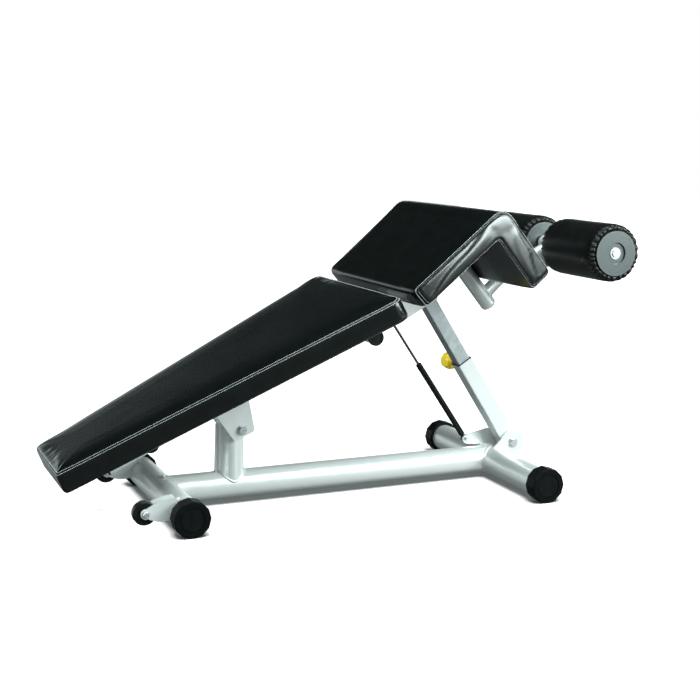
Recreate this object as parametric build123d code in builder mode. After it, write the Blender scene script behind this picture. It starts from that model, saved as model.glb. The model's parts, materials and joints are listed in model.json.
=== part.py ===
from build123d import *
from math import atan2, cos, degrees, hypot, radians, sin, tan
import os

# Adjustable decline bench, in millimetres.
# +X runs from the low head end to the foot rollers, +Z is up, and the bench is
# symmetric about the XZ plane except for its gas spring and pull knob.
# The origin is on the floor, under the middle of the whole bench.

os.makedirs("parts", exist_ok=True)

# ---------------------------------------------------------------- base frame
front_x = -446.16           # front cross tube; the other x values count from here
rear_x = 923.0              # rear cross tube
tube_r = 36.5               # round cross tubes, 73 mm across
main_r, main_z = 35.5, 48.5           # tube that joins the two cross tubes
tube_wall = 3.0
front_half = 275.0          # centre line to the outer face of a front foot cap
rear_half = 320.0
cap_corner_r = 45.6         # twelve-sided rubber foot cap, across corners / 2
foot_r = 45.0               # axle height of every foot; the caps are cut flat here
cap_length = 38.0
cap_socket = 29.0           # how far the tube goes into its cap
cap_disc_r = 30.0
cap_disc_depth = 3.0

post_x, post_r = 177.0, 33.5
post_top_z = 218.0
gusset_foot_x, gusset_top_x = 133.0, 139.0
gusset_half = 4.0
pivot_x, pivot_z = 194.0, 196.0       # bench tilt pivot
sleeve_r, sleeve_half = 20.0, 39.0
bush_r = 12.0
bolt_r = 6.0                # M12 bolts at the main pivots
bolt_clear = 0.05           # radial running clearance of every pivot

# ---------------------------------------------------------- transport wheels
wheel_x, wheel_z = -100.0, 57.0
wheel_y = 210.0
wheel_r, wheel_width = 29.0, 22.0
ear_plate = 5.0
wheel_bolt_r = 5.0

# ------------------------------------------------------------- bench geometry
pad_angle = 25.6            # back pad above the horizontal
pad_z0 = 230.0              # height of the back pad's underside above the front tube
back_start, back_end = -300.0, 615.0  # back pad along its own length
back_taper = 0.153          # half width gained per millimetre of length
back_half_0 = 196.8         # half width above the front tube
back_height = 57.0
thigh_angle = 40.2          # thigh pad above the horizontal
thigh_x, thigh_z = 700.0, 607.6       # a point on the thigh pad's underside
thigh_start = -148.0
knee_height = 55.0          # pad thickness on the thigh side
shin_height = 64.0          # pad thickness on the shin side
knee_half_low, knee_half_high = 284.0, 296.0
shin_angle = 51.5           # shin pad and shin tube below the horizontal
shin_end_x, shin_end_z = 916.0, 470.0  # low end of the shin tube
shin_tube_r = 21.2
shin_gap = 23.0             # shin tube's axis to the shin pad's underside
shin_pad_end = 76.0         # low edge of the shin pad along the shin tube
board_thick = 15.0
board_inset = 22.0
beam_depth, beam_half, beam_wall = 50.0, 30.0, 3.0

# --------------------------------------------------------------- foot rollers
roller_x, roller_z = 1109.0, 632.5
roller_r = 74.5
roller_outer, roller_inner = 310.0, 49.0
disc_r, disc_thick = 57.4, 12.0
disc_recess_r, disc_recess = 28.0, 5.0
axle_r = 10.0
core_r = 20.0
arm_r = 17.0

# ---------------------------------------------------- telescoping strut, knob
strut_x, strut_z = 977.0, 94.0        # lower pivot of the strut
strut_angle = 58.0                    # strut leans back towards the head end
outer_size, outer_wall = 45.0, 2.5
inner_size, inner_wall = 38.0, 2.5
outer_top, outer_bottom = 272.0, -18.0
inner_top, inner_bottom = 468.0, 177.0
top_pivot = 490.0
pin_at = 256.0              # lock pin along the strut
pin_r, pin_hole_r = 4.5, 5.2
hole_pitch = 31.485         # strut travel for three degrees of tilt
hole_steps = range(-1, 6)
knob_r = 24.0

# ----------------------------------------------------------------- gas spring
gas_x, gas_z = 867.0, 98.5
gas_y = 43.0
gas_top_x, gas_top_z = 606.9, 493.1
gas_r, gas_bore_r = 8.0, 6.8
gas_rod_r = 3.5
gas_start, gas_stop = 14.0, 260.0     # steel cylinder along the spring

# ------------------------------------------------------------------- planes
pad_cos, pad_sin = cos(radians(pad_angle)), sin(radians(pad_angle))
thigh_cos, thigh_sin = cos(radians(thigh_angle)), sin(radians(thigh_angle))
shin_cos, shin_sin = cos(radians(shin_angle)), sin(radians(shin_angle))
strut_dir = Vector(-cos(radians(strut_angle)), 0, sin(radians(strut_angle)))

side = Plane.XZ             # seen from the near side; offsets run towards -Y


def at(x, z):
    """A point of the side view, with x counted from the front cross tube."""
    return (front_x + x, z)


bench_origin = (front_x, 0, pad_z0)
thigh_origin = (front_x + thigh_x, 0, thigh_z)
bench_side = Plane(bench_origin, x_dir=(pad_cos, 0, pad_sin), z_dir=(0, -1, 0))
bench_top = Plane(bench_origin, x_dir=(pad_cos, 0, pad_sin), z_dir=(-pad_sin, 0, pad_cos))
thigh_side = Plane(thigh_origin, x_dir=(thigh_cos, 0, thigh_sin), z_dir=(0, -1, 0))
thigh_top = Plane(thigh_origin, x_dir=(thigh_cos, 0, thigh_sin), z_dir=(-thigh_sin, 0, thigh_cos))
shin_origin = (front_x + shin_end_x, 0, shin_end_z)
shin_side = Plane(shin_origin, x_dir=(-shin_cos, 0, shin_sin), z_dir=(0, 1, 0))
shin_top = Plane(shin_origin, x_dir=(-shin_cos, 0, shin_sin), z_dir=(shin_sin, 0, shin_cos))
strut_origin = (front_x + strut_x, 0, strut_z)
strut_cross = Plane(strut_origin, x_dir=(0, 1, 0), z_dir=strut_dir)
strut_side = Plane(strut_origin, x_dir=strut_dir, z_dir=(0, 1, 0))
gas_dx, gas_dz = gas_top_x - gas_x, gas_top_z - gas_z
gas_length = hypot(gas_dx, gas_dz)
gas_dir = Vector(gas_dx / gas_length, 0, gas_dz / gas_length)
gas_origin = (front_x + gas_x, gas_y, gas_z)
gas_cross = Plane(gas_origin, x_dir=(0, 1, 0), z_dir=gas_dir)


def meet(angle_a, x_a, z_a, angle_b, x_b, z_b):
    """Where two lines of the side view cross, each given by its angle and a point."""
    slope_a, slope_b = tan(radians(angle_a)), tan(radians(angle_b))
    x = (z_b - z_a + slope_a * x_a - slope_b * x_b) / (slope_a - slope_b)
    return x, z_a + slope_a * (x - x_a)


def below_back(depth):
    """A point and the angle of the line at this depth under the back pad."""
    return pad_angle, depth * pad_sin, pad_z0 - depth * pad_cos


def below_thigh(depth):
    return thigh_angle, thigh_x + depth * thigh_sin, thigh_z - depth * thigh_cos


def above_shin(height):
    """The line at this distance outside the shin tube's axis."""
    return -shin_angle, shin_end_x + height * shin_sin, shin_end_z + height * shin_cos


def save(built, name):
    built.part.label = name
    export_step(built.part, "parts/" + name + ".step")


def y_plane(x, z, y):
    """A sketch plane across the bench, facing +Y, centred on a side-view point."""
    return Plane((front_x + x, y, z), x_dir=(1, 0, 0), z_dir=(0, 1, 0))


def plate_plane(y):
    """A sketch plane at y, drawn as seen from the near side; extruding runs to -Y."""
    return Plane((front_x, y, 0), x_dir=(1, 0, 0), z_dir=(0, -1, 0))


def add_disc(x, z, y, amount, outer, inner=0.0, sides=0, taper=0.0):
    """Round or many-sided disc about a Y axis, added to the part being built."""
    with BuildSketch(y_plane(x, z, y)) as profile:
        if sides:
            RegularPolygon(outer, sides)
        else:
            Circle(outer)
        if inner:
            Circle(inner, mode=Mode.SUBTRACT)
    extrude(profile.sketch, amount=amount, taper=taper)


def add_bolt(x, z, y_head, y_tip, shank_r, head_r, head_height, washer_r):
    """Bolt with a hexagon head and a washer under it, its shank along Y."""
    way = 1 if y_tip > y_head else -1
    add_disc(x, z, y_head, y_tip - y_head, shank_r)
    add_disc(x, z, y_head, -2 * way, washer_r)
    add_disc(x, z, y_head - 2 * way, (1 - head_height) * way, head_r, sides=6)
    add_disc(x, z, y_head - (head_height + 1) * way, -way, head_r, sides=6, taper=40)


def add_nut(x, z, y_face, way, hole_r, nut_r, height, washer_r):
    """Nut and washer round the end of a bolt, growing away from y_face."""
    add_disc(x, z, y_face, 2 * way, washer_r, hole_r)
    add_disc(x, z, y_face + 2 * way, height * way, nut_r, hole_r, sides=6)


def ring(x, z, y, length, outer, inner):
    """Round sleeve about a Y axis, starting at y."""
    with BuildPart() as sleeve:
        with BuildSketch(y_plane(x, z, y)):
            Circle(outer)
            Circle(inner, mode=Mode.SUBTRACT)
        extrude(amount=length)
    return sleeve


# ================================================================ base frame
def cross_tube(x, half, name):
    """Straight round tube across the base; its ends go into the foot caps."""
    reach = half - cap_length + cap_socket
    save(ring(x, foot_r, -reach, 2 * reach, tube_r, tube_r - tube_wall), name)


cross_tube(0, front_half, "front_cross_tube")
cross_tube(rear_x, rear_half, "rear_cross_tube")

main_cross = Plane((front_x, 0, main_z), x_dir=(0, 1, 0), z_dir=(1, 0, 0))
with BuildPart() as main_tube:
    with BuildSketch(main_cross):
        Circle(main_r)
        Circle(main_r - tube_wall, mode=Mode.SUBTRACT)
    extrude(amount=rear_x)
    with BuildSketch(y_plane(0, foot_r, -tube_r - 1)):
        Circle(tube_r)
        with Locations((rear_x, 0)):
            Circle(tube_r)
    extrude(amount=2 * tube_r + 2, mode=Mode.SUBTRACT)
save(main_tube, "main_tube")

post_cross = Plane((front_x + post_x, 0, main_z))
with BuildPart() as pivot_post:
    with BuildSketch(post_cross):
        Circle(post_r)
    extrude(amount=post_top_z - main_z)
    fillet(pivot_post.faces().sort_by(Axis.Z)[-1].edges(), 4)
    with BuildSketch(post_cross):
        Circle(post_r - tube_wall)
    extrude(amount=post_top_z - main_z - 5, mode=Mode.SUBTRACT)
    with BuildSketch(main_cross):
        Circle(main_r)
    extrude(amount=rear_x, mode=Mode.SUBTRACT)
    with BuildSketch(y_plane(pivot_x, pivot_z, -sleeve_half)):
        Circle(sleeve_r)
    extrude(amount=2 * sleeve_half, mode=Mode.SUBTRACT)
save(pivot_post, "pivot_post")

# Narrow rib up the head side of the post.
with BuildPart() as post_gusset:
    with BuildSketch(plate_plane(gusset_half)):
        Polygon((gusset_foot_x, main_z), (post_x, main_z), (post_x, post_top_z - 10),
                (gusset_top_x, post_top_z - 10), align=None)
    extrude(amount=2 * gusset_half)
    with BuildSketch(post_cross):
        Circle(post_r)
    extrude(amount=post_top_z, mode=Mode.SUBTRACT)
    with BuildSketch(main_cross):
        Circle(main_r)
    extrude(amount=rear_x, mode=Mode.SUBTRACT)
save(post_gusset, "post_gusset")

save(ring(pivot_x, pivot_z, -sleeve_half, 2 * sleeve_half, sleeve_r, bush_r), "pivot_sleeve")

with BuildPart() as pivot_bushes:
    for way in (-1, 1):
        with BuildSketch(y_plane(pivot_x, pivot_z, way * 12)):
            Circle(bush_r)
            Circle(bolt_r + bolt_clear, mode=Mode.SUBTRACT)
        extrude(amount=way * (sleeve_half - 12))
        with BuildSketch(y_plane(pivot_x, pivot_z, way * sleeve_half)):
            Circle(sleeve_r - 2)
            Circle(bolt_r + bolt_clear, mode=Mode.SUBTRACT)
        extrude(amount=way * 1.5)
save(pivot_bushes, "pivot_bushes")


# Twelve-sided rubber caps with a recessed end, cut flat where they stand.
feet = ((0, front_half, -1), (0, front_half, 1), (rear_x, rear_half, -1), (rear_x, rear_half, 1))
with BuildPart() as foot_caps:
    for x, half, way in feet:
        with BuildSketch(y_plane(x, foot_r, way * (half - cap_length))):
            RegularPolygon(cap_corner_r, 12)
        extrude(amount=way * (cap_length - 2.5))
        with BuildSketch(y_plane(x, foot_r, way * (half - 2.5))):
            RegularPolygon(cap_corner_r, 12)
        extrude(amount=way * 2.5, taper=45)
    for x, half, way in feet:
        with BuildSketch(y_plane(x, foot_r, way * (half - cap_length))):
            Circle(tube_r)
        extrude(amount=way * cap_socket, mode=Mode.SUBTRACT)
        with BuildSketch(y_plane(x, foot_r, way * half)):
            Circle(cap_disc_r)
        extrude(amount=-way * cap_disc_depth, mode=Mode.SUBTRACT)
    with BuildSketch(Plane.XY.offset(-5)):
        Rectangle(4 * rear_x, 4 * rear_half)
    extrude(amount=5, mode=Mode.SUBTRACT)
save(foot_caps, "foot_caps")

with BuildPart() as foot_cap_discs:
    for x, half, way in feet:
        with BuildSketch(y_plane(x, foot_r, way * (half - cap_disc_depth))):
            Circle(cap_disc_r - 1.5)
        extrude(amount=way * 1.5)
save(foot_cap_discs, "foot_cap_discs")


# Two curved, tapering plates from the front tube out to each transport wheel.
with BuildPart() as wheel_brackets:
    for way, gap_side in ((-1, -1), (-1, 1), (1, -1), (1, 1)):
        y = way * wheel_y + gap_side * (wheel_width / 2 + 2)
        with BuildSketch(plate_plane(y)):
            with BuildLine():
                top = ThreePointArc((wheel_x + 2, wheel_z + 12), (wheel_x + 34, 84), (-28, 90))
                nose = Line(top @ 1, (-14, 70))
                inside = Line(nose @ 1, (-22, 45))
                under = ThreePointArc(inside @ 1, (-60, 36), (wheel_x + 5, wheel_z - 11))
                ThreePointArc(under @ 1, (wheel_x - 12, wheel_z), top @ 0)
            make_face()
        extrude(amount=-gap_side * ear_plate)
    with BuildSketch(y_plane(wheel_x, wheel_z, -front_half)):
        Circle(wheel_bolt_r)
    extrude(amount=2 * front_half, mode=Mode.SUBTRACT)
    with BuildSketch(y_plane(0, foot_r, -front_half)):
        Circle(tube_r)
    extrude(amount=2 * front_half, mode=Mode.SUBTRACT)
save(wheel_brackets, "wheel_brackets")


def transport_wheel(way):
    """Moulded wheel with a softer tread shape and a recessed hub on both sides."""
    with BuildPart() as wheel:
        with BuildSketch(y_plane(wheel_x, wheel_z, way * wheel_y - wheel_width / 2)):
            Circle(wheel_r)
        extrude(amount=wheel_width)
        rims = wheel.edges().filter_by(GeomType.CIRCLE)
        fillet(rims, 4)
        for face_way in (-1, 1):
            face_y = way * wheel_y + face_way * wheel_width / 2
            with BuildSketch(y_plane(wheel_x, wheel_z, face_y)):
                Circle(21)
                Circle(11, mode=Mode.SUBTRACT)
            extrude(amount=-face_way * 4, mode=Mode.SUBTRACT)
        with BuildSketch(y_plane(wheel_x, wheel_z, way * wheel_y - wheel_width)):
            Circle(wheel_bolt_r + bolt_clear)
        extrude(amount=2 * wheel_width, mode=Mode.SUBTRACT)
    return wheel


save(transport_wheel(-1), "transport_wheel_near")
save(transport_wheel(1), "transport_wheel_far")

# ------------------------------------------------------ strut clevis on base
clevis_in, clevis_plate, clevis_r = 28.0, 6.0, 33.0


def clevis_plate_part(way, with_lug):
    """Round-ended plate on the rear tube; the far one reaches on to the gas spring."""
    with BuildPart() as plate:
        with BuildSketch(plate_plane(way * clevis_in)):
            with Locations((strut_x, strut_z)):
                Circle(clevis_r)
            Polygon((strut_x - 22, strut_z + 25), (rear_x - 8, foot_r + 34), (rear_x, foot_r),
                    (rear_x + 36, foot_r), (strut_x + 16, strut_z - 29), align=None)
            if with_lug:
                with Locations((gas_x, gas_z)):
                    Circle(12)
                Polygon((gas_x - 5, gas_z + 10.9), (rear_x + 6, foot_r + 79),
                        (strut_x - 16, strut_z + 28), (strut_x, strut_z), (rear_x, foot_r + 36),
                        (gas_x + 30, gas_z - 17), (gas_x - 1, gas_z - 12), align=None)
        extrude(amount=-way * clevis_plate)
        with BuildSketch(plate_plane(way * clevis_in)):
            with Locations((rear_x, foot_r)):
                Circle(tube_r)
            with Locations((strut_x, strut_z)):
                Circle(bolt_r)
            if with_lug:
                with Locations((gas_x, gas_z)):
                    Circle(5)
        extrude(amount=-way * clevis_plate, mode=Mode.SUBTRACT)
        with BuildSketch(main_cross):
            Circle(main_r)
        extrude(amount=rear_x, mode=Mode.SUBTRACT)
    return plate


save(clevis_plate_part(-1, False), "clevis_plate_near")
save(clevis_plate_part(1, True), "clevis_plate_far")

clevis_out = clevis_in + clevis_plate
with BuildPart() as clevis_bolt:
    add_bolt(strut_x, strut_z, -clevis_out, clevis_out + 14, bolt_r, 11, 7, 14)
save(clevis_bolt, "clevis_bolt")

with BuildPart() as gas_lower_bolt:
    add_bolt(gas_x, gas_z, clevis_in, gas_y + 13, 5, 7.5, 5, 9)
save(gas_lower_bolt, "gas_lower_bolt")

ear_out = wheel_width / 2 + 2 + ear_plate
with BuildPart() as wheel_bolts:
    for way in (-1, 1):
        add_bolt(wheel_x, wheel_z, way * (wheel_y + ear_out), way * (wheel_y - ear_out - 9),
                 wheel_bolt_r, 8, 5, 9)
save(wheel_bolts, "wheel_bolts")

with BuildPart() as base_nuts:
    add_nut(strut_x, strut_z, clevis_out, 1, bolt_r, 11, 9, 14)
    add_nut(gas_x, gas_z, gas_y + 6.5, 1, 5, 8, 5, 8.5)
    for way in (-1, 1):
        add_nut(wheel_x, wheel_z, way * (wheel_y - ear_out), -way, wheel_bolt_r, 8.5, 6, 9)
save(base_nuts, "base_nuts")

with BuildPart() as clevis_spacers:
    for way in (-1, 1):
        with BuildSketch(y_plane(strut_x, strut_z, way * clevis_in)):
            Circle(15)
            Circle(bolt_r, mode=Mode.SUBTRACT)
        extrude(amount=-way * (clevis_in - outer_size / 2 - 0.3))
save(clevis_spacers, "clevis_spacers")


# ===================================================== strut, sleeve and knob
with BuildPart() as strut_outer_tube:
    with BuildSketch(strut_cross.offset(outer_bottom)):
        RectangleRounded(outer_size, outer_size, 4)
        inside_size = outer_size - 2 * outer_wall
        RectangleRounded(inside_size, inside_size, 2, mode=Mode.SUBTRACT)
    extrude(amount=outer_top - outer_bottom)
    with BuildSketch(strut_side.offset(-outer_size)):
        Circle(12)
    extrude(amount=2 * outer_size, mode=Mode.SUBTRACT)
    with BuildSketch(strut_side):
        with Locations((pin_at, 0)):
            Circle(8)
    extrude(amount=outer_size, mode=Mode.SUBTRACT)
save(strut_outer_tube, "strut_outer_tube")

with BuildPart() as strut_bush:
    with BuildSketch(strut_side.offset(-outer_size / 2)):
        Circle(12)
        Circle(bolt_r + bolt_clear, mode=Mode.SUBTRACT)
    extrude(amount=outer_size)
save(strut_bush, "strut_bush")

with BuildPart() as strut_guide:
    liner_size = outer_size - 2 * outer_wall
    slip_size = inner_size + 0.6
    with BuildSketch(strut_cross.offset(outer_top - 70)):
        RectangleRounded(liner_size, liner_size, 2)
        RectangleRounded(slip_size, slip_size, 2, mode=Mode.SUBTRACT)
    extrude(amount=70)
    with BuildSketch(strut_cross.offset(outer_top)):
        RectangleRounded(outer_size - 1, outer_size - 1, 3.5)
        RectangleRounded(slip_size, slip_size, 2, mode=Mode.SUBTRACT)
    extrude(amount=2)
    with BuildSketch(strut_side):
        with Locations((pin_at, 0)):
            Circle(8)
    extrude(amount=outer_size, mode=Mode.SUBTRACT)
save(strut_guide, "strut_guide")

housing_tip = 52.0
with BuildPart() as pin_housing:
    with BuildSketch(strut_side.offset(inner_size / 2 + 0.5)):
        with Locations((pin_at, 0)):
            Circle(8)
    extrude(amount=outer_size / 2 - inner_size / 2 - 0.5)
    with BuildSketch(strut_side.offset(outer_size / 2)):
        with Locations((pin_at, 0)):
            RegularPolygon(12, 6)
    extrude(amount=6)
    with BuildSketch(strut_side.offset(outer_size / 2 + 6)):
        with Locations((pin_at, 0)):
            Circle(10)
    extrude(amount=housing_tip - outer_size / 2 - 6)
    chamfer(pin_housing.faces().sort_by(Axis.Y)[-1].edges(), 1)
    with BuildSketch(strut_side.offset(inner_size / 2)):
        with Locations((pin_at, 0)):
            Circle(pin_r + bolt_clear)
    extrude(amount=housing_tip, mode=Mode.SUBTRACT)
    with BuildSketch(strut_side.offset(outer_size / 2 + 3)):
        with Locations((pin_at, 0)):
            Circle(8)
    extrude(amount=housing_tip - outer_size / 2 - 6, mode=Mode.SUBTRACT)
save(pin_housing, "pin_housing")

pin_tip = inner_size / 2 + 0.5
shoulder_at, shoulder_end, pull_travel = 36.0, 39.0, 4.0
with BuildPart() as lock_pin:
    with BuildSketch(strut_side.offset(pin_tip)):
        with Locations((pin_at, 0)):
            Circle(pin_r)
    extrude(amount=70 - pin_tip)
    chamfer(lock_pin.faces().sort_by(Axis.Y)[0].edges(), 0.8)
    with BuildSketch(strut_side.offset(shoulder_at)):
        with Locations((pin_at, 0)):
            Circle(7.5)
    extrude(amount=shoulder_end - shoulder_at)
save(lock_pin, "lock_pin")

# The spring is drawn at the length it has when the pin is pulled right out.
spring_start = shoulder_end + pull_travel + 0.4
with BuildPart() as lock_spring:
    with BuildSketch(strut_side.offset(spring_start)):
        with Locations((pin_at, 0)):
            Circle(7)
            Circle(5.2, mode=Mode.SUBTRACT)
    extrude(amount=housing_tip - 3 - spring_start)
save(lock_spring, "lock_spring")

knob_base, knob_length = 64.0, 44.0
with BuildPart() as pull_knob:
    with BuildSketch(strut_side.offset(knob_base + 5)):
        with Locations((pin_at, 0)):
            RegularPolygon(knob_r, 8)
    extrude(amount=knob_length - 5)
    chamfer(pull_knob.faces().sort_by(Axis.Y)[-1].edges(), 9)
    chamfer(pull_knob.faces().sort_by(Axis.Y)[0].edges(), 7)
    with BuildSketch(strut_side.offset(knob_base)):
        with Locations((pin_at, 0)):
            Circle(10)
    extrude(amount=6)
    with BuildSketch(strut_side.offset(knob_base)):
        with Locations((pin_at, 0)):
            Circle(pin_r)
    extrude(amount=70 - knob_base, mode=Mode.SUBTRACT)
save(pull_knob, "pull_knob")

with BuildPart() as strut_inner_tube:
    with BuildSketch(strut_cross.offset(inner_bottom)):
        RectangleRounded(inner_size, inner_size, 3)
        hollow_size = inner_size - 2 * inner_wall
        RectangleRounded(hollow_size, hollow_size, 1.5, mode=Mode.SUBTRACT)
    extrude(amount=inner_top - inner_bottom)
    with BuildSketch(strut_side):
        with Locations([(pin_at + step * hole_pitch, 0) for step in hole_steps]):
            Circle(pin_hole_r)
    extrude(amount=inner_size, mode=Mode.SUBTRACT)
save(strut_inner_tube, "strut_inner_tube")

# The top eye's hole is oblong across the strut: the strut's top pivot closes a
# four-bar loop, and the hole takes up the part of its path that isn't straight.
eye_shift = 6.4
with BuildPart() as strut_top_eye:
    with BuildSketch(strut_side.offset(-inner_size / 2)):
        with BuildLine():
            tip = ThreePointArc((top_pivot, inner_size / 2), (top_pivot + inner_size / 2, 0),
                                (top_pivot, -inner_size / 2))
            Polyline(tip @ 1, (inner_top, -inner_size / 2), (inner_top, inner_size / 2), tip @ 0)
        make_face()
        with Locations((top_pivot, 0)):
            SlotCenterToCenter(2 * eye_shift, 2 * (bolt_r + 1.0), rotation=90, mode=Mode.SUBTRACT)
    extrude(amount=inner_size)
    with BuildSketch(strut_cross.offset(inner_top - 30)):
        RectangleRounded(inner_size - 2 * inner_wall, inner_size - 2 * inner_wall, 1.5)
    extrude(amount=30)
save(strut_top_eye, "strut_top_eye")

# ================================================================= gas spring
with BuildPart() as gas_cylinder:
    with BuildSketch(gas_cross.offset(gas_start)):
        Circle(gas_r)
    extrude(amount=gas_stop - gas_start)
    fillet(gas_cylinder.edges().filter_by(GeomType.CIRCLE), 1.5)
    with BuildSketch(gas_cross.offset(gas_start + 4)):
        Circle(gas_bore_r)
    extrude(amount=gas_stop - gas_start - 14, mode=Mode.SUBTRACT)
    with BuildSketch(gas_cross.offset(gas_stop - 12)):
        Circle(gas_rod_r + bolt_clear)
    extrude(amount=14, mode=Mode.SUBTRACT)
save(gas_cylinder, "gas_cylinder")


def rod_eye(x, z, plane_start, hole_r, eye_r, slot):
    """End fitting of the gas spring: an eye on a short threaded neck."""
    with BuildPart() as eye:
        with BuildSketch(y_plane(x, z, gas_y - 6)):
            Circle(eye_r)
        extrude(amount=12)
        with BuildSketch(gas_cross.offset(plane_start)):
            Circle(5)
        extrude(amount=14)
        with BuildSketch(Plane((front_x + x, gas_y - 6, z), x_dir=gas_dir, z_dir=(0, 1, 0))):
            if slot:
                SlotCenterToCenter(2 * slot, 2 * hole_r, rotation=90)
            else:
                Circle(hole_r)
        extrude(amount=12, mode=Mode.SUBTRACT)
    return eye


save(rod_eye(gas_x, gas_z, 0, 5 + bolt_clear, 9, 0), "gas_lower_eye")

piston_at = gas_stop - 55
with BuildPart() as gas_rod:
    with BuildSketch(gas_cross.offset(piston_at)):
        Circle(gas_rod_r)
    extrude(amount=gas_length - 14 - piston_at)
save(gas_rod, "gas_rod")

with BuildPart() as gas_piston:
    with BuildSketch(gas_cross.offset(piston_at - 8)):
        Circle(gas_bore_r - 0.1)
    extrude(amount=8)
save(gas_piston, "gas_piston")

save(rod_eye(gas_top_x, gas_top_z, gas_length - 14, 4.5, 13, 4.4), "gas_upper_eye")

# ========================================================= tilting bench frame
fold_top = meet(*below_back(0), *below_thigh(0))
fold_low = meet(*below_back(beam_depth), *below_thigh(beam_depth))
skin_top = meet(*below_back(beam_wall), *below_thigh(beam_wall))
skin_low = meet(*below_back(beam_depth - beam_wall), *below_thigh(beam_depth - beam_wall))
beam_start = -175.0


def on_back(u, depth):
    return (u * pad_cos + depth * pad_sin, pad_z0 + u * pad_sin - depth * pad_cos)


def side_face(points):
    """Closed side-view outline in the sketch plane that is being drawn on."""
    Polygon(*[at(*point) for point in points], align=None)


with BuildPart() as bench_beam:
    with BuildSketch(side):
        side_face((on_back(beam_start, 0), fold_top, fold_low, on_back(beam_start, beam_depth)))
    extrude(amount=beam_half, both=True)
    with BuildSketch(side):
        side_face((on_back(beam_start, beam_wall), skin_top, skin_low,
                   on_back(beam_start, beam_depth - beam_wall)))
    extrude(amount=beam_half - beam_wall, both=True, mode=Mode.SUBTRACT)
save(bench_beam, "bench_beam")

with BuildPart() as beam_plug:
    with BuildSketch(bench_side.offset(-beam_half)):
        with Locations((beam_start - 2, -beam_depth / 2)):
            Rectangle(4, beam_depth)
    extrude(amount=2 * beam_half)
    with BuildSketch(bench_side.offset(beam_wall - beam_half)):
        with Locations((beam_start + 8, -beam_depth / 2)):
            Rectangle(16, beam_depth - 2 * beam_wall)
    extrude(amount=2 * (beam_half - beam_wall))
save(beam_plug, "beam_plug")

apex_top = meet(*below_thigh(0), *above_shin(0))
apex_low = meet(*below_thigh(beam_depth), *above_shin(0))
with BuildPart() as thigh_beam:
    with BuildSketch(side):
        side_face((fold_top, apex_top, apex_low, fold_low))
    extrude(amount=beam_half, both=True)
    with BuildSketch(side):
        side_face((skin_top, meet(*below_thigh(beam_wall), *above_shin(0)),
                   meet(*below_thigh(beam_depth - beam_wall), *above_shin(0)), skin_low))
    extrude(amount=beam_half - beam_wall, both=True, mode=Mode.SUBTRACT)
    with BuildSketch(Plane(shin_origin, x_dir=(0, 1, 0), z_dir=(-shin_cos, 0, shin_sin))):
        Circle(shin_tube_r)
    extrude(amount=400, mode=Mode.SUBTRACT)
save(thigh_beam, "thigh_beam")

shin_tube_length = hypot(apex_top[0] - shin_end_x, apex_top[1] - shin_end_z) - 6
with BuildPart() as shin_tube:
    with BuildSketch(Plane(shin_origin, x_dir=(0, 1, 0), z_dir=(-shin_cos, 0, shin_sin))):
        Circle(shin_tube_r)
    extrude(amount=shin_tube_length)
    shin_axis = Axis(shin_origin, (-shin_cos, 0, shin_sin))
    fillet(shin_tube.faces().sort_by(shin_axis)[0].edges(), 9)
save(shin_tube, "shin_tube")

# The roller arm leaves the shin tube along the thigh line, then bends level
# enough to reach the roller axle.
arm_root = (shin_end_x - 37 * shin_cos, shin_end_z + 37 * shin_sin)
arm_bend = (arm_root[0] + 95 * cos(radians(42)), arm_root[1] + 95 * sin(radians(42)))
with BuildPart() as roller_arm:
    with BuildLine() as arm_path:
        FilletPolyline((front_x + arm_root[0], 0, arm_root[1]),
                       (front_x + arm_bend[0], 0, arm_bend[1]),
                       (front_x + roller_x, 0, roller_z), radius=110)
    arm_start = Plane((front_x + arm_root[0], 0, arm_root[1]), x_dir=(0, 1, 0),
                      z_dir=(cos(radians(42)), 0, sin(radians(42))))
    with BuildSketch(arm_start):
        Circle(arm_r)
    sweep(path=arm_path.line)
    with BuildSketch(Plane(shin_origin, x_dir=(0, 1, 0), z_dir=(-shin_cos, 0, shin_sin))):
        Circle(shin_tube_r)
    extrude(amount=200, mode=Mode.SUBTRACT)
    with BuildSketch(y_plane(roller_x, roller_z, -arm_r - 1)):
        Circle(core_r + 1)
    extrude(amount=2 * arm_r + 2, mode=Mode.SUBTRACT)
save(roller_arm, "roller_arm")

hub_half = roller_inner - 3.0
save(ring(roller_x, roller_z, -hub_half, 2 * hub_half, core_r + 1, axle_r), "roller_hub")
axle_half = roller_outer - disc_recess + 0.5
save(ring(roller_x, roller_z, -axle_half, 2 * axle_half, axle_r, 5), "roller_axle")

with BuildPart() as axle_collars:
    for way in (-1, 1):
        with BuildSketch(y_plane(roller_x, roller_z, way * hub_half)):
            Circle(16)
            Circle(axle_r, mode=Mode.SUBTRACT)
        extrude(amount=way * (roller_inner - hub_half - 0.4))
save(axle_collars, "axle_collars")

with BuildPart() as axle_end_bolts:
    for way in (-1, 1):
        face_y = way * axle_half
        with BuildSketch(y_plane(roller_x, roller_z, face_y)):
            Circle(5)
        extrude(amount=-way * 25)
        with BuildSketch(y_plane(roller_x, roller_z, face_y)):
            Circle(15)
        extrude(amount=way * 1.5)
        with BuildSketch(y_plane(roller_x, roller_z, face_y + way * 1.5)):
            RegularPolygon(10.5, 6)
        extrude(amount=way * 3.5)
save(axle_end_bolts, "axle_end_bolts")

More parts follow.
